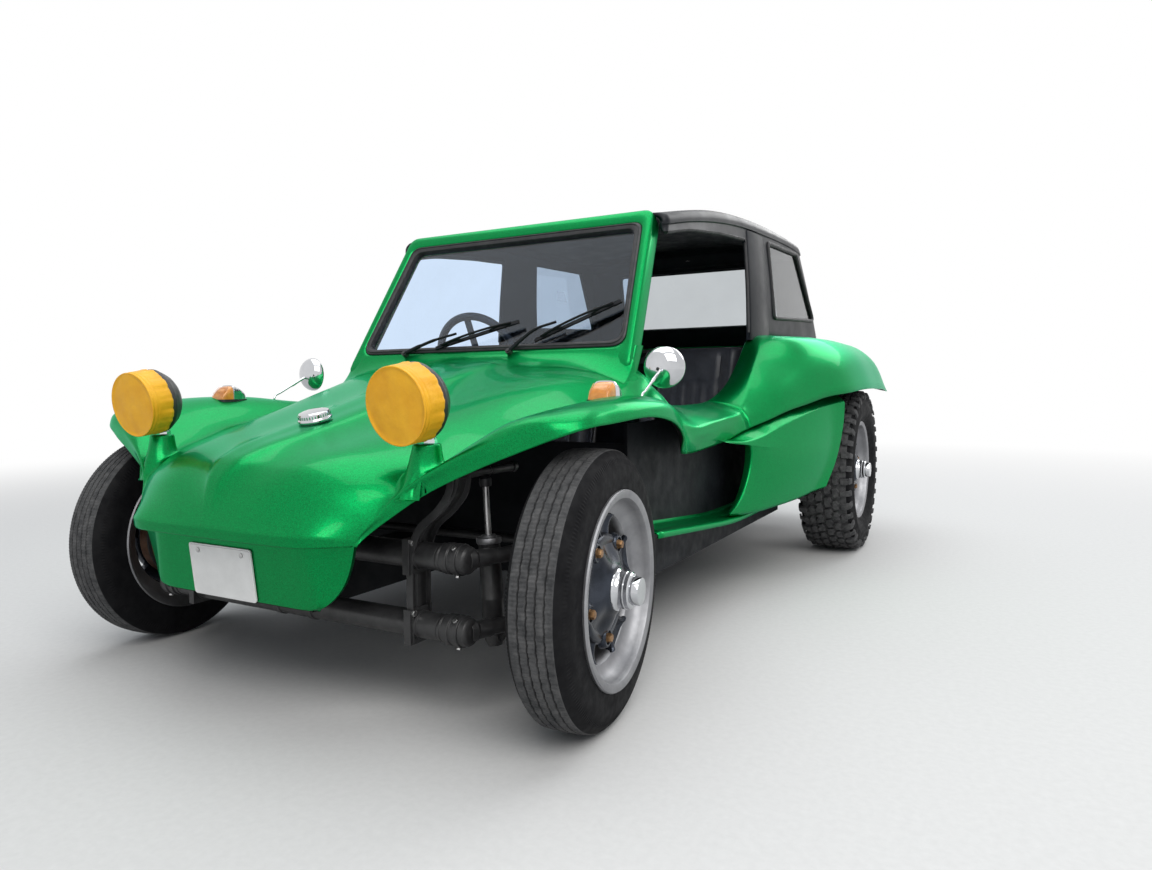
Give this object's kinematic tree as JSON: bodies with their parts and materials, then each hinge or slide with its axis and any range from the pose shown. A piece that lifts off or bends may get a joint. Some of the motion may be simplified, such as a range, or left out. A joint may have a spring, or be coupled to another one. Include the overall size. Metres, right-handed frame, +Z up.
{
  "type": "dune buggy",
  "caption": "Open two-seat dune buggy with a hardtop, a one-piece moulded nose and wings, side pods, lamp covers, steered front wheels and an open rear engine.",
  "frame": {"origin": "on the ground, at the middle of the car's length and width", "axes": "+X to the car's left, -Y towards the nose, +Z up"},
  "size_m": [1.856, 3.1795, 1.3839],
  "materials": {
    "body_paint": "gloss metallic green",
    "hardtop_black": "gloss black",
    "glass": "clear",
    "seal_rubber": "satin",
    "tyre_rubber": "matte",
    "wheel_alloy": "polished lip, dark spokes",
    "chrome": "polished",
    "chassis_black": "semi gloss",
    "liner_black": "matte",
    "seat_vinyl": "satin",
    "cover_vinyl": "satin",
    "amber_lens": "gloss",
    "red_lens": "gloss",
    "plate_white": "satin",
    "engine_alloy": "cast",
    "exhaust_black": "matte",
    "knuckle_iron": "rough",
    "steel": "brushed"
  },
  "bodies": {
    "chassis": {"body_front": "body_paint", "windscreen_frame": "body_paint", "body_side_left": "body_paint", "body_side_right": "body_paint", "body_rear": "body_paint", "side_pod_left": "body_paint", "side_pod_right": "body_paint", "windscreen_seal": "seal_rubber", "windscreen_glass": "glass", "hardtop": "hardtop_black", "hardtop_glass": "glass", "lower_sides": "liner_black", "floor_pan": "chassis_black", "rear_shelf": "liner_black", "dashboard": "liner_black", "steering_column": "chassis_black", "seat_left": "seat_vinyl", "seat_right": "seat_vinyl", "floor_levers": "steel", "headlamps": "chassis_black", "lamp_covers": "cover_vinyl", "mirrors": "chrome", "fuel_cap": "chrome", "indicators": "amber_lens", "number_plate": "plate_white", "wipers": "liner_black", "front_beam": "chassis_black", "trailing_arms": "chassis_black", "front_shocks": "chassis_black", "steering_box": "chassis_black", "transaxle": "engine_alloy", "rear_suspension": "chassis_black", "rear_shocks": "chassis_black", "engine": "engine_alloy", "fan_shroud": "chassis_black", "crank_pulley": "chassis_black", "exhaust": "exhaust_black", "rear_bumper": "chrome", "rear_lamps": "red_lens"},
    "steering_wheel": {"steering_wheel": "seal_rubber"},
    "pitman_arm": {"pitman_arm": "chassis_black"},
    "tie_rods": {"tie_rods": "chassis_black"},
    "knuckle_left": {"knuckle_left": "knuckle_iron"},
    "knuckle_right": {"knuckle_right": "knuckle_iron"},
    "wheel_front_left": {"tyre_front_left": "tyre_rubber", "rim_front_left": "wheel_alloy"},
    "wheel_front_right": {"tyre_front_right": "tyre_rubber", "rim_front_right": "wheel_alloy"},
    "wheel_rear_left": {"tyre_rear_left": "tyre_rubber", "rim_rear_left": "wheel_alloy"},
    "wheel_rear_right": {"tyre_rear_right": "tyre_rubber", "rim_rear_right": "wheel_alloy"}
  },
  "joints": [
    {"name": "steer_left", "type": "hinge", "parent": "chassis", "child": "knuckle_left", "pos_m": [0.59, -1.1965, 0.29], "axis": [0, 0, 1], "range_deg": [-36.2, 23.8]},
    {"name": "steer_right", "type": "hinge", "parent": "chassis", "child": "knuckle_right", "pos_m": [-0.59, -1.1965, 0.29], "axis": [0, 0, 1], "range_deg": [-36.2, 23.8]},
    {"name": "pitman", "type": "hinge", "parent": "chassis", "child": "pitman_arm", "pos_m": [-0.25, -1.1965, 0.371], "axis": [0, 0, 1], "range_deg": [-36.2, 23.8]},
    {"name": "tie_rod_pivot", "type": "hinge", "parent": "pitman_arm", "child": "tie_rods", "pos_m": [-0.26188, -1.08714, 0.35], "axis": [0, 0, 1], "range_deg": [-23.8, 36.2]},
    {"name": "steering_wheel_turn", "type": "hinge", "parent": "chassis", "child": "steering_wheel", "pos_m": [-0.268, -0.2465, 0.8], "axis": [0, 0.9272, 0.3746], "range_deg": [-506.8, 333.2]},
    {"name": "wheel_front_left_spin", "type": "hinge", "parent": "knuckle_left", "child": "wheel_front_left", "pos_m": [0.59, -1.1965, 0.29], "axis": [0.9942, 0.108, 0], "continuous": true},
    {"name": "wheel_rear_left_spin", "type": "hinge", "parent": "chassis", "child": "wheel_rear_left", "pos_m": [0.77, 0.8985, 0.338], "axis": [1, 0, 0], "continuous": true},
    {"name": "wheel_front_right_spin", "type": "hinge", "parent": "knuckle_right", "child": "wheel_front_right", "pos_m": [-0.59, -1.1965, 0.29], "axis": [0.9942, 0.108, 0], "continuous": true},
    {"name": "wheel_rear_right_spin", "type": "hinge", "parent": "chassis", "child": "wheel_rear_right", "pos_m": [-0.77, 0.8985, 0.338], "axis": [1, 0, 0], "continuous": true}
  ],
  "couplings": [
    {"joint": "steer_right", "follows": "steer_left", "ratio": 1},
    {"joint": "pitman", "follows": "steer_left", "ratio": 1},
    {"joint": "tie_rod_pivot", "follows": "steer_left", "ratio": -1},
    {"joint": "steering_wheel_turn", "follows": "steer_left", "ratio": 14}
  ]
}
